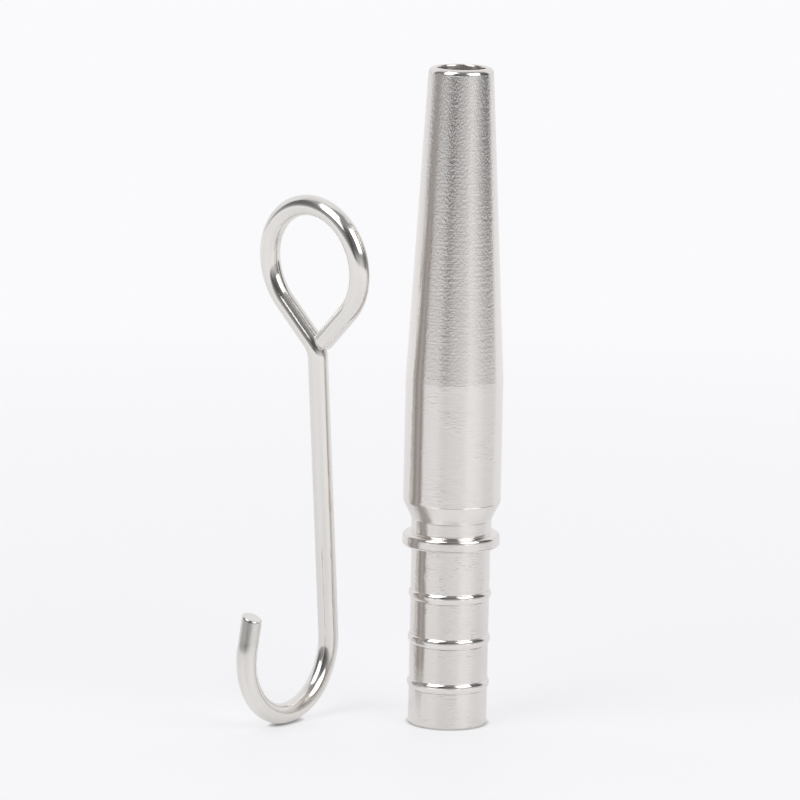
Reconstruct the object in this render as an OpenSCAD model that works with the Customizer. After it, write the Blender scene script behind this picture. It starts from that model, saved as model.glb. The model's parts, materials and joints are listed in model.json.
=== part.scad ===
// Stainless steel sap spile with its wire bucket hook.
// The spile is one turned tube and stands on its hose tail, nose up.
// The hook is one bent wire and stands beside it on the bottom of its J.
// Millimetres, +Z up, +Y away from the viewer, origin on the spile's axis at the tail's end face.

/* [Bar and bore] */
// Diameter of the bar that the spile is turned from, left full at the barrel and the collar
bar_d = 12; // [11:0.1:16]
// Diameter of the sap bore, straight through from nose to tail
bore_d = 6; // [4:0.1:7]

/* [Hose tail] */
// Diameter of the tail that the hose is pushed over
tail_d = 9.7; // [9:0.1:10.8]
// Length of the tail, from its end to the collar
tail_l = 22.4; // [20:0.1:32]
// Chamfer on the outer edge of the tail's end
tail_chamfer = 0.2; // [0.1:0.05:0.5]
// Number of gripping ridges round the tail
ridge_count = 3; // [1:1:3]
// Height of the first ridge above the tail's end
ridge_first = 5.2; // [4:0.1:8]
// Distance from one ridge to the next
ridge_pitch = 5.6; // [3:0.1:7]
// Radius of the ridge's rounded section
ridge_r = 0.9; // [0.6:0.05:1.2]
// How far the ridges stand out of the tail
ridge_proud = 0.24; // [0.1:0.01:0.4]

/* [Collar and neck] */
// Thickness of the collar that stops the hose and holds the hook's eye
collar_t = 1.6; // [1.2:0.1:3]
// Rounding of the collar's upper edge
collar_round = 0.5; // [0.2:0.05:0.7]
// Chamfer on the collar's lower edge
collar_chamfer = 0.2; // [0.1:0.05:0.4]
// Diameter of the neck that the hook's eye drops into
neck_d = 9.9; // [8:0.1:10.5]
// Length of the straight neck above the collar
neck_l = 1.65; // [1:0.05:6]
// Height of the sloping shoulder from the neck up to the barrel
shoulder_l = 2.3; // [1:0.1:6]

/* [Barrel and nose] */
// Length of the straight barrel
barrel_l = 15.2; // [8:0.1:30]
// Length of the tapered nose that is driven into the tree
nose_l = 38.3; // [25:0.1:60]
// Diameter of the nose at its tip, before the edge is rounded
tip_d = 7.9; // [7:0.1:10]
// Rounding of the tip's outer edge
tip_round = 0.7; // [0.2:0.05:0.75]
// Rounding of the bore's mouth at the tip
mouth_round = 0.2; // [0.05:0.05:0.3]

/* [Hook] */
// Diameter of the hook's wire
wire_d = 2.5; // [2:0.1:3.2]
// How much thinner the wire is in its bends, which are stretched as they are bent cold
bend_thin = 0.02; // [0.02:0.01:0.06]
// Play between the hook's eye and the barrel that it slides over, all round
eye_clearance = 0.2; // [0.1:0.05:1]
// Angle between each leg of the eye and the shank
leg_angle = 45; // [38:1:52]
// Bend radius where the shank turns into the eye, to the middle of the wire
neck_bend_r = 3; // [2:0.1:5]
// Gap between the wire's cut end and the leg that it closes on
butt_gap = 0.1; // [0.05:0.05:0.5]
// Length of the shank, from the start of the J to the point where the eye's legs meet
shank_l = 36.4; // [25:0.1:60]
// Radius of the J, to the middle of the wire
jay_r = 8.1; // [6:0.1:12]
// Angle that the J turns through, from the shank to its straight end
jay_sweep = 197; // [180:1:220]
// Length of the J's straight end, up to its tip
jay_end = 3.7; // [0.5:0.1:8]
// Turn about the shank, anticlockwise from the J's opening, to the side where the eye's first leg leans
eye_turn = 265; // [240:0.5:300]

/* [Stand] */
// Clear space kept between the spile's side and the circle that the eye's ring fills
stand_gap = 5.1; // [3:0.1:20]
// How far the hook's foot stands in front of the spile's axis
hook_forward = 2.4; // [-10:0.1:10]
// Direction in which the J opens, anticlockwise from +X seen from above
hook_turn = 232.8; // [200:0.2:270]
// Lean of the hook to the left
lean_left = 3; // [0:0.1:6]
// Lean of the hook to the front
lean_front = 5.3; // [0:0.1:8]

/* [Hidden] */
$fn = 96;

// Steel as it shows: a grey turned tube and a slightly brighter wire
spile_colour = [0.77, 0.76, 0.74];
hook_colour = [0.82, 0.81, 0.79];

// Steps that a small rounding is cut in
round_steps = 8;
// Overrun of a cutting tool past the face that it cuts
tool_over = 1;

// Spile: radii and heights, from the tail's end upwards
bar_r = bar_d / 2;
bore_r = bore_d / 2;
tail_r = tail_d / 2;
neck_r = neck_d / 2;
tip_r = tip_d / 2;
collar_z = tail_l;
neck_z = collar_z + collar_t;
shoulder_z = neck_z + neck_l;
barrel_z = shoulder_z + shoulder_l;
nose_z = barrel_z + barrel_l;
tip_z = nose_z + nose_l;

// Roundings, limited by the walls that they are cut in
rim_wall = tip_r - bore_r;
mouth_cut = min(mouth_round, rim_wall / 4);
tip_cut = min(tip_round, rim_wall - mouth_cut);
collar_cut = min(collar_round, collar_t - collar_chamfer, bar_r - neck_r);

// Taper of the nose, and the middle of the tip's rounding, which touches the taper and the end face
nose_angle = atan((bar_r - tip_r) / nose_l);
tip_mid = [tip_r - tip_cut * (1 - sin(nose_angle)) / cos(nose_angle), tip_z - tip_cut];

// How far a bend runs on inside the straights that it meets, so that the wire is one solid
bend_lap = 0.1;

// Hook: sizes to the middle of the wire
wire_r = wire_d / 2;
eye_r = bar_r + eye_clearance + wire_r;
eye_outer_r = eye_r + wire_r;
leg_l = eye_r / tan(leg_angle);
bend_l = neck_bend_r * tan(leg_angle / 2);
// The cut end stops square to its own leg, a gap short of the other leg's side
butt_l = (wire_r + butt_gap + wire_r * abs(cos(2 * leg_angle))) / sin(2 * leg_angle);

// Stand of the hook: the J's middle is as high as its lowest point needs to touch the ground
hook_x = -(bar_r + stand_gap + eye_outer_r);
jay_tilt = cos(lean_left) * cos(hook_turn) * sin(lean_front) - sin(lean_left) * sin(hook_turn);
jay_z = jay_r * sqrt(1 - jay_tilt * jay_tilt) + wire_r;

// Points of a circular arc about a middle, from one angle to another
function arc(mid, r, from, to) =
    [for (i = [0:round_steps])
        let (a = from + (to - from) * i / round_steps)
        mid + r * [cos(a), sin(a)]];

// Half section of the turned bar, solid to its axis
module bar_section() {
    polygon(concat(
        [[0, 0],
         [tail_r - tail_chamfer, 0],
         [tail_r, tail_chamfer],
         [tail_r, collar_z],
         [bar_r - collar_chamfer, collar_z],
         [bar_r, collar_z + collar_chamfer]],
        arc([bar_r - collar_cut, neck_z - collar_cut], collar_cut, 0, 90),
        [[neck_r, neck_z],
         [neck_r, shoulder_z],
         [bar_r, barrel_z],
         [bar_r, nose_z]],
        arc(tip_mid, tip_cut, nose_angle, 90),
        [[0, tip_z]]
    ));
}

// Half section of the drilled bore, with its rounded mouth at the tip
module bore_section() {
    polygon(concat(
        [[0, -tool_over],
         [bore_r, -tool_over]],
        arc([bore_r + mouth_cut, tip_z - mouth_cut], mouth_cut, 180, 90),
        [[bore_r + mouth_cut, tip_z + tool_over],
         [0, tip_z + tool_over]]
    ));
}

// One rounded gripping ridge round the tail
module ridge(height) {
    rotate_extrude()
        translate([tail_r + ridge_proud - ridge_r, height])
            circle(r = ridge_r);
}

// Turned tube: hose tail with ridges, collar, neck, shoulder, barrel and tapered nose
module spile() {
    color(spile_colour)
        difference() {
            union() {
                rotate_extrude() bar_section();
                for (i = [0:ridge_count - 1]) ridge(ridge_first + i * ridge_pitch);
            }
            rotate_extrude() bore_section();
        }
}

// Straight stretch of wire up from the origin, and what follows at its end
module straight(length) {
    cylinder(d = wire_d, h = length);
    translate([0, 0, length]) children();
}

// Bend from straight up towards +X through an angle, with its laps, and what follows at its end
module bend(r, angle) {
    lap_angle = asin(bend_lap / r);
    translate([r, 0, 0]) {
        rotate([90, 0, 0])
            rotate([0, 0, 180 - angle - lap_angle])
                rotate_extrude(angle = angle + 2 * lap_angle)
                    translate([r, 0])
                        circle(d = wire_d - bend_thin);
        rotate([0, angle, 0]) translate([-r, 0, 0]) children();
    }
}

// Bent wire from the J's tip to the eye's cut end, standing on the bottom of the J
module hook() {
    color(hook_colour)
        translate([hook_x, -hook_forward, jay_z])
            rotate([lean_front, -lean_left, 0])
                rotate([0, 0, hook_turn])
                    rotate([0, -jay_sweep, 0])
                        translate([-jay_r, 0, -jay_end])
                            straight(jay_end)
                                bend(jay_r, jay_sweep)
                                    straight(shank_l - bend_l)
                                        rotate([0, 0, eye_turn])
                                            bend(neck_bend_r, leg_angle)
                                                straight(leg_l - bend_l)
                                                    rotate([0, 0, 180])
                                                        bend(eye_r, 180 + 2 * leg_angle)
                                                            straight(leg_l - butt_l);
}

spile();
hook();
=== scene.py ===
"""Looks of a turned steel sap spile and its bent wire bucket hook, standing on a pale studio floor.

The spile is one profile turned about the Z axis, the hook is one circle carried along a bent line.
Sizes of the object, the card and the camera are in millimetres and degrees, and become metres where
a mesh or the camera is made. Sizes of the floor and the softboxes are in metres.
"""
import json

import bpy
import numpy as np
from mathutils import Matrix, Vector


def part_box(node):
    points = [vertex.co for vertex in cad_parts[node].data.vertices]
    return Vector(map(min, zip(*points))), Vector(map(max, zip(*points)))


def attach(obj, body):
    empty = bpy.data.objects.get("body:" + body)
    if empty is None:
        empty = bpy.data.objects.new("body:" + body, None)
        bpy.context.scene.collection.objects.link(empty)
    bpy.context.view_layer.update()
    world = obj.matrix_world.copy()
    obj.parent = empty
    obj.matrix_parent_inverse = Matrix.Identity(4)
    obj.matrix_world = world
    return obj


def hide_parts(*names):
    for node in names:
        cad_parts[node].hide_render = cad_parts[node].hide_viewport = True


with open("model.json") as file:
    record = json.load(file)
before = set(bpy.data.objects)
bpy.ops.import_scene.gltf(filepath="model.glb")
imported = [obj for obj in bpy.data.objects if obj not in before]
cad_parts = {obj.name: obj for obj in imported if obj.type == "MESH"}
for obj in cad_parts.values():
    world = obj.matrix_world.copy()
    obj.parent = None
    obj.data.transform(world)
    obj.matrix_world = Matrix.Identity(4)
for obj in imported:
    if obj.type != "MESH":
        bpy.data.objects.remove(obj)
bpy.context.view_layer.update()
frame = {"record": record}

MM = 0.001
MOUNTS = {mount["name"]: mount for mount in frame["record"]["mounts"]}

# Spile: radii and heights above the tail's end
BORE_R = MOUNTS["sap_bore"]["dims"]["r_mm"]
TAIL_R = MOUNTS["hose_spigot"]["dims"]["r_mm"]
TIP_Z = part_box("spile")[1].z / MM
BAR_R = 6.0
NECK_R = 4.95
TIP_R = 3.95
COLLAR_Z = 22.4
NECK_Z = 24.0
SHOULDER_Z = 25.65
BARREL_Z = 27.95
NOSE_Z = 43.15

# Spile: ridges and small edges
RIDGE_HEIGHTS = (5.2, 10.8, 16.4)
RIDGE_R = 0.9
RIDGE_UPPER_R = 0.65
RIDGE_PROUD = 0.24
PAST_CREST = 3
TAIL_CHAMFER = 0.2
COLLAR_ROUND = 0.5
COLLAR_CHAMFER = 0.2
NECK_FILLET = 0.1
TIP_ROUND = 0.7
MOUTH_ROUND = 0.2
TOOL_LINE_WIDTH = 0.14
SHALLOW, DEEP = 0.015, 0.022

# Hook: sizes to the middle of the wire, and how it stands
WIRE_R = 1.25
EYE_PLAY = 0.2
EYE_R = BAR_R + EYE_PLAY + WIRE_R
LEG_ANGLE = 45.0
NECK_BEND_R = 3.0
BUTT_GAP = 0.1
SHANK_L = 36.4
JAY_R = 8.1
JAY_SWEEP = 197.0
JAY_END = 3.7
EYE_TURN = 265.0
HOOK_TURN = 232.8
LEAN_LEFT = 3.0
LEAN_FRONT = 5.3
CUT_ROUND = 0.22

# The J's tip is cut at a slant: where its cut face looks, and how far down the wire the slant fades out
TIP_FACING = (0.29, -0.165, 0.944)
TIP_FADE = 3.0

# How finely the surfaces are cut: steps round the spile and the wire, rows in a tool line and in a cut's
# rounded edge, rings inside a cut's edge by share of the wire's radius, and the least gap beside that edge
TURN_STEPS = 160
WIRE_STEPS = 48
TOOL_LINE_ROWS = 9
CUT_ROWS = 7
CUT_RINGS = np.array([0.3, 0.75])
ROW_GAP = 0.02

# Rows of a straight stretch of profile, by share of its length: even ones, and one close to each end, at
# CLOSE_ROW or at most at CLOSE_SHARE. Points nearer to each other than SAME_POINT count once
EVEN_SHARES = np.linspace(0.1, 0.9, 9)
CLOSE_ROW = 0.03
CLOSE_SHARE = 0.2
SAME_POINT = 1e-6

# Camera: a long lens that looks down a little, turned slightly about its own axis
IMAGE_SIDE = 800
FOCAL_PIXELS = 5500
SENSOR = 36.0
CAMERA_TARGET = (-6.626, 0.0, 40.29)
CAMERA_DISTANCE = 673.93
CAMERA_PITCH = 10.248
CAMERA_ROLL = 1.166
CAMERA_CLIP = (0.01, 20)


def turn_about(axis, degrees):
    """Rotation matrix about one of the axes X, Y or Z."""
    return np.array(Matrix.Rotation(np.radians(degrees), 3, axis))


def new_piece(name, points, faces, uv, values):
    """Mesh object from whole arrays: points in millimetres, faces, one UV pair per face corner.

    The values are named arrays with one number or vector per point, and become attributes.
    """
    mesh = bpy.data.meshes.new(name)
    mesh.from_pydata(points * MM, [], faces)
    layer = mesh.uv_layers.new(name="surface")
    layer.uv.foreach_set("vector", uv.astype(np.float32).ravel())
    for key, value in values.items():
        kind, field = ("FLOAT", "value") if value.ndim == 1 else ("FLOAT_VECTOR", "vector")
        carried = mesh.attributes.new(key, kind, "POINT")
        carried.data.foreach_set(field, value.astype(np.float32).ravel())
    mesh.shade_smooth()
    mesh.update()
    piece = bpy.data.objects.new(name, mesh)
    bpy.context.scene.collection.objects.link(piece)
    return piece


def ring_faces(rows, columns, closed):
    """Quads between the rows of a grid whose columns run round a ring.

    Closed joins the last row to the first.
    """
    row = np.arange(rows if closed else rows - 1)[:, None]
    column = np.arange(columns)[None, :]
    next_row = (row + 1) % rows
    next_column = (column + 1) % columns
    corners = [
        row * columns + column,
        row * columns + next_column,
        next_row * columns + next_column,
        next_row * columns + column,
    ]
    return np.stack(np.broadcast_arrays(*corners), axis=-1).reshape(-1, 4)


def ring_uv(along, around, closed_to):
    """UV pairs for ring_faces: U runs along the rows, V round the ring, and neither jumps at its seam."""
    u = np.append(along, closed_to) if closed_to is not None else along
    low_u, high_u = u[:-1, None], u[1:, None]
    low_v, high_v = around[None, :-1], around[None, 1:]
    corners = [(low_u, low_v), (low_u, high_v), (high_u, high_v), (high_u, low_v)]
    pairs = [np.stack(np.broadcast_arrays(*pair), axis=-1) for pair in corners]
    return np.stack(pairs, axis=2).reshape(-1, 2)


# Spile

SATIN, BRUSHED, POLISHED = 0, 1, 2


def line(start, end, finish):
    """Straight stretch of profile without its end, with a close row at each end to keep its shading flat."""
    start, end = np.array(start), np.array(end)
    length = np.linalg.norm(end - start)
    close = min(CLOSE_ROW / length, CLOSE_SHARE)
    share = np.sort(np.concatenate([[0, close], EVEN_SHARES, [1 - close]]))
    points = start + share[:, None] * (end - start)
    return points, np.full(len(points), finish)


def arc(middle, radius, start, end, finish, steps=8):
    """Circular stretch of profile about a middle, from one angle to another in degrees."""
    angle = np.radians(np.linspace(start, end, steps + 1))
    points = np.array(middle) + radius * np.column_stack([np.cos(angle), np.sin(angle)])
    return points, np.full(len(points), finish)


def tool_line(radius, height, depth):
    """Fine groove of the turning tool about a height on a straight stretch, in the form of a cosine wave."""
    share = np.linspace(0, 1, TOOL_LINE_ROWS)
    sunk = depth * (1 - np.cos(2 * np.pi * share)) / 2
    points = np.column_stack([radius - sunk, height + (share - 0.5) * TOOL_LINE_WIDTH])
    return points, np.full(len(points), SATIN)


def tail_stretches():
    """Profile of the hose tail: straight stretches between ridges, each ridge with a tool line below it.

    A ridge is two arcs that meet at its crest, a wide one below and a tighter, polished one above,
    whose first row lies a few degrees past the crest.
    """
    crest = TAIL_R + RIDGE_PROUD
    lower_angle = np.degrees(np.arccos(1 - RIDGE_PROUD / RIDGE_R))
    upper_angle = np.degrees(np.arccos(1 - RIDGE_PROUD / RIDGE_UPPER_R))
    lower_height = RIDGE_R * np.sin(np.radians(lower_angle))
    upper_height = RIDGE_UPPER_R * np.sin(np.radians(upper_angle))
    height = TAIL_CHAMFER
    stretches = []
    for ridge in RIDGE_HEIGHTS:
        groove = ridge - lower_height - TOOL_LINE_WIDTH / 2
        stretches += [
            line((TAIL_R, height), (TAIL_R, groove - TOOL_LINE_WIDTH / 2), SATIN),
            tool_line(TAIL_R, groove, SHALLOW),
            arc((crest - RIDGE_R, ridge), RIDGE_R, -lower_angle, 0, SATIN),
            arc((crest - RIDGE_UPPER_R, ridge), RIDGE_UPPER_R, PAST_CREST, upper_angle, POLISHED),
        ]
        height = ridge + upper_height
    stretches.append(line((TAIL_R, height), (TAIL_R, COLLAR_Z), SATIN))
    return stretches


def spile_profile():
    """Closed half section of the spile: up its outside from the tail's end, over the tip, down the bore."""
    nose_angle = np.degrees(np.arctan((BAR_R - TIP_R) / (TIP_Z - NOSE_Z)))
    nose_turn = np.radians(nose_angle)
    tip_inset = TIP_ROUND * (1 - np.sin(nose_turn)) / np.cos(nose_turn)
    tip_middle = (TIP_R - tip_inset, TIP_Z - TIP_ROUND)
    tip_side = np.array(tip_middle) + TIP_ROUND * np.array([np.cos(nose_turn), np.sin(nose_turn)])
    collar_edge = COLLAR_Z + COLLAR_CHAMFER
    collar_middle = (BAR_R - COLLAR_ROUND, NECK_Z - COLLAR_ROUND)
    stretches = [
        line((BORE_R, 0), (TAIL_R - TAIL_CHAMFER, 0), SATIN),
        line((TAIL_R - TAIL_CHAMFER, 0), (TAIL_R, TAIL_CHAMFER), POLISHED),
        *tail_stretches(),
        line((TAIL_R, COLLAR_Z), (BAR_R - COLLAR_CHAMFER, COLLAR_Z), SATIN),
        line((BAR_R - COLLAR_CHAMFER, COLLAR_Z), (BAR_R, collar_edge), POLISHED),
        tool_line(BAR_R, collar_edge + TOOL_LINE_WIDTH / 2, SHALLOW),
        line((BAR_R, collar_edge + TOOL_LINE_WIDTH), (BAR_R, NECK_Z - COLLAR_ROUND), SATIN),
        arc(collar_middle, COLLAR_ROUND, 0, 90, POLISHED),
        line((BAR_R - COLLAR_ROUND, NECK_Z), (NECK_R + NECK_FILLET, NECK_Z), POLISHED),
        arc((NECK_R + NECK_FILLET, NECK_Z + NECK_FILLET), NECK_FILLET, 270, 180, SATIN),
        line((NECK_R, NECK_Z + NECK_FILLET), (NECK_R, SHOULDER_Z), SATIN),
        tool_line(NECK_R, SHOULDER_Z + TOOL_LINE_WIDTH / 2, SHALLOW),
        line((NECK_R, SHOULDER_Z + TOOL_LINE_WIDTH), (BAR_R, BARREL_Z), SATIN),
        tool_line(BAR_R, BARREL_Z + TOOL_LINE_WIDTH / 2, DEEP),
        line((BAR_R, BARREL_Z + TOOL_LINE_WIDTH), (BAR_R, NOSE_Z), SATIN),
        line((BAR_R, NOSE_Z), tip_side, BRUSHED),
        arc(tip_middle, TIP_ROUND, nose_angle, 90, POLISHED),
        arc((BORE_R + MOUTH_ROUND, TIP_Z - MOUTH_ROUND), MOUTH_ROUND, 90, 180, POLISHED),
        line((BORE_R, TIP_Z - MOUTH_ROUND), (BORE_R, 0), SATIN),
    ]
    points = np.concatenate([stretch[0] for stretch in stretches])
    finish = np.concatenate([stretch[1] for stretch in stretches])
    apart = np.linalg.norm(points - np.roll(points, 1, axis=0), axis=1) > SAME_POINT
    return points[apart], finish[apart]


def make_spile():
    """Surface of revolution: each profile point (radius, height) goes round the Z axis at even angles.

    The angles start at the back, so the seam lies there. Each point also carries its place unrolled onto
    a cylinder of the bar's radius, as high as the profile is long, for the marks of the lathe.
    """
    profile, finish = spile_profile()
    angle = np.pi / 2 + np.linspace(0, 2 * np.pi, TURN_STEPS + 1)
    radius, height = profile[:, :1], profile[:, 1:]
    cosine, sine = np.cos(angle[:-1])[None, :], np.sin(angle[:-1])[None, :]
    points = np.stack(np.broadcast_arrays(radius * cosine, radius * sine, height), axis=-1)
    step = np.linalg.norm(np.roll(profile, -1, axis=0) - profile, axis=1)
    along = np.concatenate([[0], np.cumsum(step)])
    place = np.stack(np.broadcast_arrays(BAR_R * cosine, BAR_R * sine, along[:-1, None]), axis=-1)
    columns = np.ones(TURN_STEPS)
    return new_piece(
        "sap_spile",
        points.reshape(-1, 3),
        ring_faces(len(profile), TURN_STEPS, closed=True),
        ring_uv(along[:-1], angle * BAR_R, closed_to=along[-1]),
        {
            "place": place.reshape(-1, 3),
            "brushed": np.outer(finish == BRUSHED, columns).ravel(),
            "polished": np.outer(finish == POLISHED, columns).ravel(),
        },
    )


# Hook

def wire_straight(start, direction, length, spacing=0.5):
    """Points and directions of a straight stretch of wire, without its end."""
    direction = np.array(direction)
    share = np.arange(0, 1, spacing / length)
    points = np.array(start) + np.outer(share * length, direction)
    return points, np.tile(direction, (len(share), 1))


def wire_bend(middle, first, second, radius, start, end, spacing=0.2):
    """Points and directions of a bend, without its end.

    A point is middle + radius (cos a first + sin a second), with a from start to end in degrees.
    """
    steps = int(np.ceil(np.radians(abs(end - start)) * radius / spacing))
    angle = np.radians(np.linspace(start, end, steps, endpoint=False))[:, None]
    points = np.array(middle) + radius * (np.cos(angle) * first + np.sin(angle) * second)
    directions = np.sign(end - start) * (np.cos(angle) * second - np.sin(angle) * first)
    return points, directions


def hook_line():
    """Middle line of the wire from the J's tip to the eye's cut end, about the J's middle, shank upright.

    Gives points, directions and, for each point, one side direction that is carried along untwisted.
    The side is square to the J's plane up to the shank's end. In the eye it keeps its angle to the
    eye's plane.
    """
    x, y, z = np.eye(3)
    turn = turn_about("Z", EYE_TURN)
    eye_side, eye_normal = turn @ x, turn @ y
    leg = np.radians(LEG_ANGLE)
    leg_l = EYE_R / np.tan(leg)
    bend_l = NECK_BEND_R * np.tan(leg / 2)
    apex = -JAY_R * x + SHANK_L * z
    eye_middle = apex + z * EYE_R / np.sin(leg)
    out = np.sin(leg) * eye_side + np.cos(leg) * z
    back = np.sin(leg) * eye_side - np.cos(leg) * z
    butt_l = (WIRE_R + BUTT_GAP + WIRE_R * abs(np.cos(2 * leg))) / np.sin(2 * leg)
    sweep = np.radians(JAY_SWEEP)
    tip_way = np.sin(sweep) * x - np.cos(sweep) * z
    jay_end = -JAY_R * (np.cos(sweep) * x + np.sin(sweep) * z)
    jay = [
        wire_straight(jay_end + JAY_END * tip_way, -tip_way, JAY_END),
        wire_bend(np.zeros(3), -x, -z, JAY_R, JAY_SWEEP, 0),
        wire_straight(-JAY_R * x, z, SHANK_L - bend_l),
    ]
    last_leg = eye_middle - EYE_R * (np.cos(leg) * eye_side + np.sin(leg) * z)
    bend_middle = apex - bend_l * z + NECK_BEND_R * eye_side
    eye = [
        wire_bend(bend_middle, -eye_side, z, NECK_BEND_R, 0, LEG_ANGLE),
        wire_straight(apex + bend_l * out, out, leg_l - bend_l),
        wire_bend(eye_middle, eye_side, z, EYE_R, -LEG_ANGLE, 180 + LEG_ANGLE),
        wire_straight(last_leg, back, leg_l - butt_l),
    ]
    end = (last_leg + (leg_l - butt_l) * back)[None, :], back[None, :]
    points = np.concatenate([part[0] for part in jay + eye + [end]])
    directions = np.concatenate([part[1] for part in jay + eye + [end]])
    jay_count = sum(len(part[0]) for part in jay)
    across = np.cross(eye_normal, directions)
    offset = np.radians(EYE_TURN)
    sides = np.cos(offset) * eye_normal + np.sin(offset) * across
    sides[:jay_count] = y
    return points, directions, sides


def wire_surface(points, directions, sides, tip_facing):
    """Circle of the wire's radius carried along a line, with its two cut ends rounded.

    A cut end's edge is a quarter circle: as the ring lies in from the end by CUT_ROUND (1 - sin a), it
    shrinks by CUT_ROUND (1 - cos a). The face inside it is two more rings and a middle point. At the first
    end each point slides along the wire into the plane square to tip_facing, and less so further down.
    Gives the points, their places on the unbent wire, the rows' lengths, the columns' angles and the two
    middle points.
    """
    length = np.concatenate([[0], np.cumsum(np.linalg.norm(np.diff(points, axis=0), axis=1))])
    turn = np.radians(np.linspace(0, 90, CUT_ROWS))
    edge_along = CUT_ROUND * (1 - np.sin(turn))[::-1]
    edge_radius = WIRE_R - CUT_ROUND * (1 - np.cos(turn))[::-1]
    face_radius = WIRE_R * CUT_RINGS
    inner = (length > CUT_ROUND + ROW_GAP) & (length < length[-1] - CUT_ROUND - ROW_GAP)
    along = np.concatenate(
        [[0, 0], edge_along, length[inner], length[-1] - edge_along[::-1], [length[-1]] * 2]
    )
    radius = np.concatenate(
        [face_radius, edge_radius, np.full(inner.sum(), WIRE_R), edge_radius[::-1], face_radius[::-1]]
    )
    middle, ahead, side = (
        np.column_stack([np.interp(along, length, value[:, axis]) for axis in range(3)])
        for value in (points, directions, sides)
    )
    ahead /= np.linalg.norm(ahead, axis=1, keepdims=True)
    side -= np.sum(side * ahead, axis=1, keepdims=True) * ahead
    side /= np.linalg.norm(side, axis=1, keepdims=True)
    across = np.cross(ahead, side)
    angle = np.linspace(0, 2 * np.pi, WIRE_STEPS + 1)
    cosine, sine = np.cos(angle[:-1]), np.sin(angle[:-1])
    ring = side[:, None, :] * cosine[None, :, None] + across[:, None, :] * sine[None, :, None]
    surface = middle[:, None, :] + radius[:, None, None] * ring
    fade = np.clip(1 - along / TIP_FADE, 0, 1) ** 2
    slide = -radius[:, None] * (ring @ tip_facing) * (fade / (ahead @ tip_facing))[:, None]
    surface = surface + slide[:, :, None] * ahead[:, None, :]
    place = np.stack(
        np.broadcast_arrays(WIRE_R * cosine[None, :], WIRE_R * sine[None, :], along[:, None]), axis=-1
    )
    return surface, place, along, angle, middle[[0, -1]]


def make_hook():
    """The wire's surface, leaned and turned as it stands, its J's lowest point on the floor."""
    stand = turn_about("Y", -LEAN_LEFT) @ turn_about("X", LEAN_FRONT) @ turn_about("Z", HOOK_TURN)
    foot_x, foot_y, _ = np.array(MOUNTS["bucket_hook"]["pos_m"]) / MM
    tilt = (stand @ np.array([0, 1, 0]))[2]
    jay_middle = np.array([foot_x, foot_y, JAY_R * np.sqrt(1 - tilt**2) + WIRE_R])
    surface, place, along, angle, ends = wire_surface(*hook_line(), stand.T @ np.array(TIP_FACING))
    rows, columns = surface.shape[:2]
    count = rows * columns
    points = np.concatenate([surface.reshape(-1, 3), ends]) @ stand.T + jay_middle
    quads = ring_faces(rows, columns, closed=False)
    column = np.arange(columns)
    beside = (column + 1) % columns
    last_row = count - columns
    first_cap = np.column_stack([np.full(columns, count), beside, column])
    last_cap = np.column_stack([np.full(columns, count + 1), last_row + column, last_row + beside])
    cap_uv = np.zeros((columns * 6, 2))
    cap_uv[columns * 3:] = along[-1]
    faces = quads.tolist() + first_cap.tolist() + last_cap.tolist()
    uv = np.concatenate([ring_uv(along, angle * WIRE_R, closed_to=None), cap_uv])
    end_place = np.column_stack([np.zeros((2, 2)), along[[0, -1]]])
    all_places = np.concatenate([place.reshape(-1, 3), end_place])
    return new_piece("bucket_hook", points, faces, uv, {"place": all_places})


# Materials

def add(tree, kind, **inputs):
    """Node of a kind in a tree. An input is named, or given by its place as i0, i1 and so on.

    A number or colour is set on it, and another node's output is linked to it.
    """
    node = tree.nodes.new(kind)
    for name, value in inputs.items():
        socket = node.inputs[int(name[1:]) if name[1:].isdigit() else name.replace("_", " ")]
        if isinstance(value, bpy.types.NodeSocket):
            tree.links.new(value, socket)
        else:
            socket.default_value = value
    return node


def compute(tree, operation, first, second=0.0):
    """Result of one step of arithmetic on one or two numbers or outputs."""
    node = add(tree, "ShaderNodeMath", i0=first, i1=second)
    node.operation = operation
    return node.outputs[0]


def mix_number(tree, share, low, high):
    """Number between two others, by a share from 0 to 1."""
    return add(tree, "ShaderNodeMix", Factor=share, A=low, B=high).outputs[0]


def share_between(tree, value, start, end):
    """Share from 0 to 1 as a value goes from a start to an end, and no further."""
    return add(tree, "ShaderNodeMapRange", Value=value, i1=start, i2=end).outputs[0]


def ramp(tree, value, stops):
    """Number read off straight lines between stops, each a place and the number there."""
    first, last = stops[0][0], stops[-1][0]
    node = add(tree, "ShaderNodeFloatCurve", Value=share_between(tree, value, first, last))
    curve = node.mapping.curves[0]
    for place, number in stops[1:-1]:
        curve.points.new((place - first) / (last - first), number)
    curve.points[0].location = (0, stops[0][1])
    curve.points[-1].location = (1, stops[-1][1])
    for point in curve.points:
        point.handle_type = "VECTOR"
    node.mapping.update()
    return node.outputs[0]


def attribute(tree, name):
    """Value that the mesh carries at its points."""
    node = tree.nodes.new("ShaderNodeAttribute")
    node.attribute_name = name
    return node


def streaks(tree, scale, detail=2.0):
    """Noise on the surface's own places, with a scale for each direction in waves per millimetre."""
    place = attribute(tree, "place").outputs["Vector"]
    mapping = add(tree, "ShaderNodeMapping", Vector=place, Scale=scale)
    return add(tree, "ShaderNodeTexNoise", Vector=mapping.outputs[0], Scale=1.0, Detail=detail).outputs[0]


def empty_material(name):
    """New material and its node tree with nothing in it."""
    material = bpy.data.materials.new(name)
    material.use_nodes = True
    material.node_tree.nodes.clear()
    return material, material.node_tree


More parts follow.
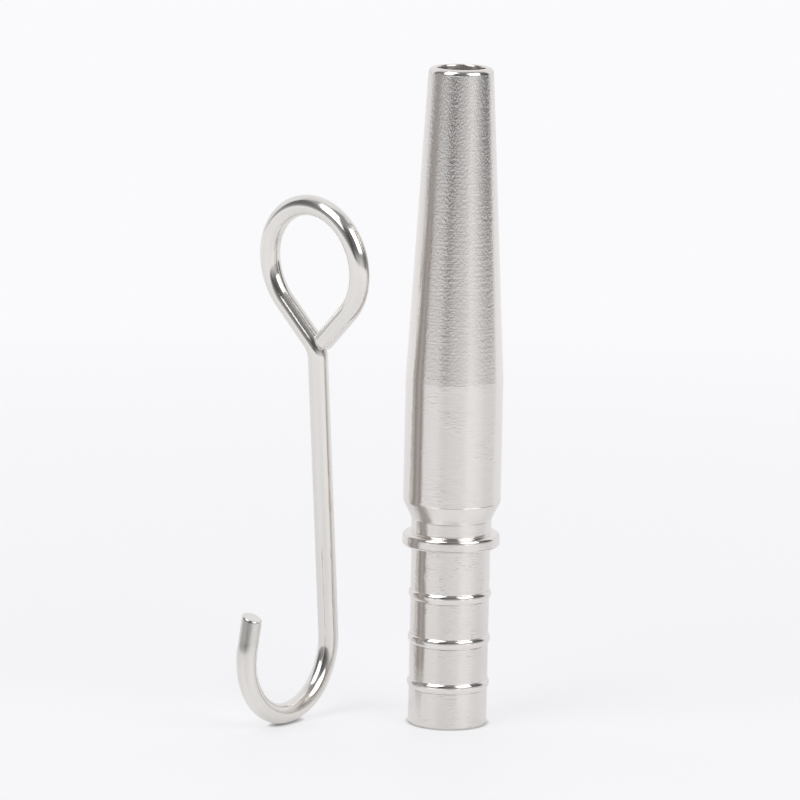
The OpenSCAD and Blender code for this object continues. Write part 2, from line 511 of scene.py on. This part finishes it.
def metal(name):
    """Material with a metal shader, whose highlight runs along the surface's U."""
    material, tree = empty_material(name)
    tangent = tree.nodes.new("ShaderNodeTangent")
    tangent.direction_type = "UV_MAP"
    tangent.uv_map = "surface"
    shader = add(tree, "ShaderNodeBsdfPrincipled", Metallic=1.0, Tangent=tangent.outputs[0])
    add(tree, "ShaderNodeOutputMaterial", Surface=shader.outputs[0])
    return material, tree, shader


def tinted(tree, shader, share, dark, light):
    """Base colour between two tints, by a share from 0 to 1."""
    tint = add(tree, "ShaderNodeMix", Factor=share)
    tint.data_type = "RGBA"
    tint.inputs[6].default_value = (*dark, 1)
    tint.inputs[7].default_value = (*light, 1)
    tree.links.new(tint.outputs[2], shader.inputs["Base Color"])


def embossed(tree, shader, height):
    """Fine relief from a height in millimetres."""
    bump = add(tree, "ShaderNodeBump", Height=height, Distance=MM)
    tree.links.new(bump.outputs[0], shader.inputs["Normal"])


# Turned steel: waves per millimetre of its marks, across twice and along
RINGS = (0.06, 0.06, 7.0)
DASHES = (1.4, 1.4, 3.8)
DASH_PATCHES = (0.25, 0.25, 0.3)
GRAIN = (4.2, 4.2, 2.8)
STROKES = (0.3, 0.3, 5.0)

# Turned steel: depths of its marks in millimetres, of dashes outside and inside their patches, of grain at
# the nose's foot and tip. PATCH_EDGE is the noise at a patch's outside and inside, and TAIL_DASHES how many
# times deeper the dashes are on the tail
RING_DEPTH = 0.004
DASH_DEPTH = (0.006, 0.026)
PATCH_EDGE = (0.48, 0.62)
TAIL_DASHES = 1.9
GRAIN_DEPTH = (0.013, 0.038)
STROKE_DEPTH = 0.007

# Turned steel: roughness of its finishes, the darker and lighter tint of its rings, and its drawn-out shine
SATIN_ROUGHNESS = (0.15, 0.22)
BRUSHED_ROUGHNESS = 0.16
POLISHED_ROUGHNESS = 0.13
STEEL_TINTS = ((0.83, 0.793, 0.762), (0.88, 0.845, 0.812))
TURNED_SHINE = 0.95


def turned_steel():
    """Lathe-turned steel: satin with fine tool rings and dashes, brushed on the nose, polished on edges.

    Dashes are deeper in patches and on the tail. The nose's grain gets deeper towards the tip.
    """
    material, tree, shader = metal("turned_steel")
    brushed = attribute(tree, "brushed").outputs["Fac"]
    polished = attribute(tree, "polished").outputs["Fac"]
    rings = streaks(tree, RINGS)
    dashes = streaks(tree, DASHES, detail=1.0)
    patches = share_between(tree, streaks(tree, DASH_PATCHES), *PATCH_EDGE)
    grain = streaks(tree, GRAIN, detail=1.5)
    strokes = streaks(tree, STROKES, detail=1.0)
    satin = mix_number(tree, rings, *SATIN_ROUGHNESS)
    rough = mix_number(tree, brushed, satin, BRUSHED_ROUGHNESS)
    tree.links.new(mix_number(tree, polished, rough, POLISHED_ROUGHNESS), shader.inputs["Roughness"])
    place = tree.nodes.new("ShaderNodeTexCoord").outputs["Object"]
    height = add(tree, "ShaderNodeSeparateXYZ", Vector=place).outputs["Z"]
    on_tail = compute(tree, "LESS_THAN", height, COLLAR_Z * MM)
    patch_depth = mix_number(tree, patches, *DASH_DEPTH)
    dash_depth = compute(tree, "MULTIPLY", patch_depth, mix_number(tree, on_tail, 1.0, TAIL_DASHES))
    dash_relief = compute(tree, "MULTIPLY", dashes, dash_depth)
    satin_relief = compute(tree, "ADD", compute(tree, "MULTIPLY", rings, RING_DEPTH), dash_relief)
    up_nose = share_between(tree, height, NOSE_Z * MM, TIP_Z * MM)
    grain_relief = compute(tree, "MULTIPLY", grain, mix_number(tree, up_nose, *GRAIN_DEPTH))
    nose_relief = compute(tree, "ADD", grain_relief, compute(tree, "MULTIPLY", strokes, STROKE_DEPTH))
    relief = mix_number(tree, brushed, satin_relief, nose_relief)
    embossed(tree, shader, mix_number(tree, polished, relief, 0.0))
    tinted(tree, shader, rings, *STEEL_TINTS)
    shader.inputs["Anisotropic"].default_value = TURNED_SHINE
    return material


# Bright wire: its draw lines, roughness and tints, and where it is scuffed, by length from the J's tip
DRAW_LINES = (3.5, 3.5, 0.04)
DRAW_DEPTH = 0.012
WIRE_ROUGHNESS = (0.10, 0.20)
WIRE_TINTS = ((0.81, 0.785, 0.75), (0.878, 0.855, 0.82))
SCUFFED_ROUGHNESS = 0.32
SCUFFED_FROM = (CUT_ROUND, CUT_ROUND + 0.3)
SCUFFED_TO = (6.0, 2.5)


def bright_wire():
    """Bright drawn wire: fine draw lines along a smooth surface, scuffed behind the J's cut tip."""
    material, tree, shader = metal("bright_wire")
    lines = streaks(tree, DRAW_LINES, detail=1.0)
    place = attribute(tree, "place").outputs["Vector"]
    along = add(tree, "ShaderNodeSeparateXYZ", Vector=place).outputs["Z"]
    behind_cut = share_between(tree, along, *SCUFFED_FROM)
    near_tip = share_between(tree, along, *SCUFFED_TO)
    scuffed = compute(tree, "MULTIPLY", behind_cut, near_tip)
    drawn = mix_number(tree, lines, *WIRE_ROUGHNESS)
    tree.links.new(mix_number(tree, scuffed, drawn, SCUFFED_ROUGHNESS), shader.inputs["Roughness"])
    embossed(tree, shader, compute(tree, "MULTIPLY", lines, DRAW_DEPTH))
    tinted(tree, shader, lines, *WIRE_TINTS)
    return material


# Studio

# Floor: how far it reaches from the spile, and its paint
FLOOR_FRONT = 0.66
FLOOR_SIDE = 0.62
FLOOR_BACK = 1.5
FLOOR_PAINT = (0.95, 0.95, 0.965, 1)
FLOOR_ROUGHNESS = 0.5

# White that covers part of the paint: its colour, its strength near the spile, and how near a foot a painted
# contact shadow dims it to the camera
FLOOR_WHITE = (0.955, 0.955, 0.972, 1)
FLOOR_LIFT = 1.04
PAINTED_SHADOW_REACH = 0.0006

# Share of white to the camera near the spile, the distances over which it grows to all, and in mirrors
# the shares at distances from the spile. In mirrors the larger share within about 38 mm of the spile is
# painted light, which lifts the reflected floor shadow under the hook's J and the spile's foot
FLOOR_GLOW = 0.6
FLOOR_NEAR = 0.06
FLOOR_FAR = 0.30
FLOOR_MIRRORED = [(0, 0.25), (0.024, 0.3), (0.038, 0.06), (0.06, 0.06), (0.3, 0.83)]


def make_floor():
    """Flat pale floor, matt paint that is covered with plain white where the camera or a mirror sees it.

    Near the object the paint still shows in part, and keeps a soft part of the shadows. To the camera the
    white is also darkened right beside the feet, a painted contact shadow, and in mirrors more white shows
    close to the spile, painted light on the reflected shadow there.
    """
    corners = [
        (-FLOOR_SIDE, -FLOOR_FRONT, 0),
        (FLOOR_SIDE, -FLOOR_FRONT, 0),
        (FLOOR_SIDE, FLOOR_BACK, 0),
        (-FLOOR_SIDE, FLOOR_BACK, 0),
    ]
    mesh = bpy.data.meshes.new("floor")
    mesh.from_pydata(corners, [], [(0, 1, 2, 3)])
    floor = bpy.data.objects.new("floor", mesh)
    bpy.context.scene.collection.objects.link(floor)
    material, tree = empty_material("floor_white")
    matt = add(tree, "ShaderNodeBsdfPrincipled", Base_Color=FLOOR_PAINT, Roughness=FLOOR_ROUGHNESS)
    place = tree.nodes.new("ShaderNodeTexCoord").outputs["Object"]
    length = add(tree, "ShaderNodeVectorMath", Vector=place)
    length.operation = "LENGTH"
    away = length.outputs["Value"]
    far_off = share_between(tree, away, FLOOR_NEAR, FLOOR_FAR)
    path = tree.nodes.new("ShaderNodeLightPath").outputs
    camera = path["Is Camera Ray"]
    mirror = compute(tree, "MAXIMUM", path["Is Glossy Ray"], path["Is Transmission Ray"])
    # Painted contact shadow: ambient occlusion darkens the floor's white beside the feet, for camera rays
    # only
    open_sky = add(tree, "ShaderNodeAmbientOcclusion", Distance=PAINTED_SHADOW_REACH).outputs["AO"]
    painted_contact_shadow = mix_number(tree, camera, 1.0, open_sky)
    strength = compute(tree, "MULTIPLY", painted_contact_shadow, mix_number(tree, far_off, FLOOR_LIFT, 1.0))
    white = add(tree, "ShaderNodeEmission", Color=FLOOR_WHITE, Strength=strength)
    to_camera = compute(tree, "MULTIPLY", camera, mix_number(tree, far_off, FLOOR_GLOW, 1.0))
    # Painted light: mirrors see more white within about 38 mm of the spile, lifting the reflected shadow
    # there
    to_mirror = compute(tree, "MULTIPLY", mirror, ramp(tree, away, FLOOR_MIRRORED))
    share = compute(tree, "MAXIMUM", to_camera, to_mirror)
    mixed = add(tree, "ShaderNodeMixShader", i0=share, i1=matt.outputs[0], i2=white.outputs[0])
    add(tree, "ShaderNodeOutputMaterial", Surface=mixed.outputs[0])
    mesh.materials.append(material)


# Room: brightness near the floor, above it and high up, by degrees from the camera's side, + to the right
ROOM_LOW = [
    (-180, 0.8), (-118, 0.8), (-108, 0.36), (-60, 0.38), (-40, 0.3), (-28, 0.08), (-20, 0.08),
    (-6, 0.38), (38, 0.7), (64, 0.38), (92, 0.12), (110, 0.1), (118, 0.78), (180, 0.8),
]
ROOM_MIDDLE = [
    (-180, 0.88), (-116, 0.88), (-108, 0.14), (-85, 0.16), (-60, 0.28), (-35, 0.1), (-15, 0.08),
    (20, 0.2), (45, 0.3), (70, 0.18), (108, 0.1), (118, 0.85), (180, 0.88),
]
ROOM_HIGH = [
    (-180, 0.88), (-115, 0.75), (-100, 0.4), (-20, 0.28), (20, 0.28), (80, 0.35), (110, 0.4),
    (130, 0.8), (180, 0.88),
]

# Room: where one height passes into the next, by the upward part of a direction, its tint, and its level to
# the camera
LOW_TO_MIDDLE = (0.04, 0.22)
MIDDLE_TO_HIGH = (0.6, 0.75)
ROOM_WHITE = (0.98, 0.985, 1.0, 1)
ROOM_TO_CAMERA = 0.97


def make_room():
    """World seen in reflections: pale behind the object, darker at its sides and in front.

    To the camera it is plain white.
    """
    world = bpy.data.worlds.new("room")
    bpy.context.scene.world = world
    world.use_nodes = True
    tree = world.node_tree
    tree.nodes.clear()
    direction = tree.nodes.new("ShaderNodeTexCoord").outputs["Generated"]
    parts = add(tree, "ShaderNodeSeparateXYZ", Vector=direction).outputs
    toward_camera = compute(tree, "MULTIPLY", parts["Y"], -1.0)
    angle = compute(tree, "DEGREES", compute(tree, "ARCTAN2", parts["X"], toward_camera))
    above = share_between(tree, parts["Z"], *LOW_TO_MIDDLE)
    high = share_between(tree, parts["Z"], *MIDDLE_TO_HIGH)
    room = mix_number(tree, above, ramp(tree, angle, ROOM_LOW), ramp(tree, angle, ROOM_MIDDLE))
    room = mix_number(tree, high, room, ramp(tree, angle, ROOM_HIGH))
    path = tree.nodes.new("ShaderNodeLightPath").outputs
    level = mix_number(tree, path["Is Camera Ray"], room, ROOM_TO_CAMERA)
    background = add(tree, "ShaderNodeBackground", Color=ROOM_WHITE, Strength=level)
    add(tree, "ShaderNodeOutputWorld", Surface=background.outputs[0])


SOFTBOX_DISTANCE = 0.7
SOFTBOX_BRIGHTNESS = 2.4


def make_softbox(name, azimuth, elevation, width, height):
    """Rectangular lamp that faces the camera's target, placed by degrees from the camera's side and up."""
    lamp = bpy.data.lights.new(name, "AREA")
    lamp.shape = "RECTANGLE"
    lamp.size = width
    lamp.size_y = height
    lamp.energy = SOFTBOX_BRIGHTNESS * np.pi * width * height
    softbox = bpy.data.objects.new(name, lamp)
    around, up = np.radians(azimuth), np.radians(elevation)
    direction = Vector((np.sin(around) * np.cos(up), -np.cos(around) * np.cos(up), np.sin(up)))
    softbox.location = Vector(CAMERA_TARGET) * MM + direction * SOFTBOX_DISTANCE
    softbox.rotation_euler = direction.to_track_quat("Z", "Y").to_euler()
    softbox.visible_camera = False
    bpy.context.scene.collection.objects.link(softbox)


# Glowing grey card, no lamp and seen only in mirrors, which paints the dark reflected stripe on the spile:
# its distance, the stripe of the spile's width that mirrors it at the barrel and at the tip, how soon the
# one passes into the other up the nose, its top, and the heights over which its foot fades out
CARD_X = -9.0
CARD_STRIPE = (-0.6, -0.86)
CARD_STRIPE_AT_TIP = (-0.58, -0.77)
CARD_NARROWING = 0.7
CARD_TOP = 84.0
CARD_FOOT = (3.0, 6.5)
CARD_COLUMNS = 9

# Glowing grey card: its tint, and the glow shades and how solid it is, by share of its width from the
# camera's side back, which paint the shades of the reflected stripe
PAINTED_REFLECTION_GREY = (0.98, 0.925, 0.9, 1)
PAINTED_REFLECTION_SHADES = [(0, 0.5), (0.2, 0.36), (0.3, 0.33), (0.45, 0.46), (0.62, 0.33), (0.75, 0.32), (1, 0.4)]
CARD_SOLID = [(0, 0), (0.1, 0.5), (0.22, 1), (0.72, 1), (0.84, 0.6), (1, 0)]


def make_painted_reflection_card():
    """Glowing grey card upright beside the spile, no lamp, whose glow the spile mirrors as a painted dark
    reflection stripe down its left side.

    At each height the card is as wide as the stripe needs. Where the spile's outside has radius R, its
    point at x = share R faces an angle a away from the camera's side, with sin a = share. It mirrors a
    level view at 2 a from that side, and the card's point lies where that ray crosses x = CARD_X. The
    card is seen only in mirrors and only from the spile's side.
    """
    profile, _ = spile_profile()
    outside = profile[:, 0] > BORE_R + MOUTH_ROUND
    height = np.append(profile[outside, 1], CARD_TOP)
    radius = np.append(profile[outside, 0], TIP_R)[:, None]
    up_nose = np.clip((height - NOSE_Z) / (TIP_Z - NOSE_Z), 0, 1)[:, None] ** CARD_NARROWING
    at_barrel = np.linspace(*CARD_STRIPE, CARD_COLUMNS)
    at_tip = np.linspace(*CARD_STRIPE_AT_TIP, CARD_COLUMNS)
    facing = np.arcsin(at_barrel * (1 - up_nose) + at_tip * up_nose)
    start_x, start_y = radius * np.sin(facing), -radius * np.cos(facing)
    reach = (CARD_X - start_x) / np.sin(2 * facing)
    y = start_y - reach * np.cos(2 * facing)
    points = np.stack(np.broadcast_arrays(CARD_X, y, height[:, None]), axis=-1)
    rows, columns = y.shape
    corner = np.arange(rows - 1)[:, None] * columns + np.arange(columns - 1)[None, :]
    faces = np.stack([corner, corner + 1, corner + columns + 1, corner + columns], axis=-1).reshape(-1, 4)
    mesh = bpy.data.meshes.new("card")
    mesh.from_pydata(points.reshape(-1, 3) * MM, [], faces)
    across = mesh.attributes.new("across", "FLOAT", "POINT")
    across.data.foreach_set("value", np.tile(np.linspace(0, 1, columns), rows).astype(np.float32))
    card = bpy.data.objects.new("card", mesh)
    bpy.context.scene.collection.objects.link(card)
    material, tree = empty_material("painted_reflection_card")
    share = attribute(tree, "across").outputs["Fac"]
    # The card's glow, by share of its width, paints the shades of the stripe reflected in the spile
    painted_reflection = add(tree, "ShaderNodeEmission", Color=PAINTED_REFLECTION_GREY, Strength=ramp(tree, share, PAINTED_REFLECTION_SHADES))
    clear = tree.nodes.new("ShaderNodeBsdfTransparent")
    front = compute(tree, "SUBTRACT", 1.0, tree.nodes.new("ShaderNodeNewGeometry").outputs["Backfacing"])
    place = tree.nodes.new("ShaderNodeTexCoord").outputs["Object"]
    card_height = add(tree, "ShaderNodeSeparateXYZ", Vector=place).outputs["Z"]
    above_foot = share_between(tree, card_height, CARD_FOOT[0] * MM, CARD_FOOT[1] * MM)
    inside = compute(tree, "MULTIPLY", above_foot, ramp(tree, share, CARD_SOLID))
    solid = compute(tree, "MULTIPLY", front, inside)
    sided = add(tree, "ShaderNodeMixShader", i0=solid, i1=clear.outputs[0], i2=painted_reflection.outputs[0])
    add(tree, "ShaderNodeOutputMaterial", Surface=sided.outputs[0])
    mesh.materials.append(material)
    card.visible_camera = False
    card.visible_diffuse = False
    card.visible_shadow = False


def make_camera():
    """Camera at the photograph's place: up and right are turned about its own axis by the roll."""
    pitch, roll = np.radians(CAMERA_PITCH), np.radians(CAMERA_ROLL)
    level_right = Vector((1, 0, 0))
    level_up = Vector((0, np.sin(pitch), np.cos(pitch)))
    backward = Vector((0, -np.cos(pitch), np.sin(pitch)))
    right = level_right * np.cos(roll) + level_up * np.sin(roll)
    up = level_up * np.cos(roll) - level_right * np.sin(roll)
    lens = bpy.data.cameras.new("camera")
    lens.sensor_width = SENSOR
    lens.lens = SENSOR * FOCAL_PIXELS / IMAGE_SIDE
    lens.clip_start, lens.clip_end = CAMERA_CLIP
    camera = bpy.data.objects.new("camera", lens)
    place = (Vector(CAMERA_TARGET) + backward * CAMERA_DISTANCE) * MM
    camera.matrix_world = Matrix.Translation(place) @ Matrix((right, up, backward)).transposed().to_4x4()
    bpy.context.scene.collection.objects.link(camera)
    bpy.context.scene.camera = camera


def dress(piece, node, material):
    """Puts a finished piece in a node's place: it moves with the node's body and takes its slot's finish."""
    piece.data.materials.append(material)
    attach(piece, node)
    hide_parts(node)


dress(make_spile(), "spile", turned_steel())
dress(make_hook(), "hook", bright_wire())
make_floor()
make_room()
make_painted_reflection_card()
make_softbox("left_softbox", azimuth=-50, elevation=48, width=0.40, height=0.60)
make_softbox("right_softbox", azimuth=52, elevation=36, width=0.50, height=0.44)
make_camera()
bpy.context.scene.view_settings.view_transform = "Standard"
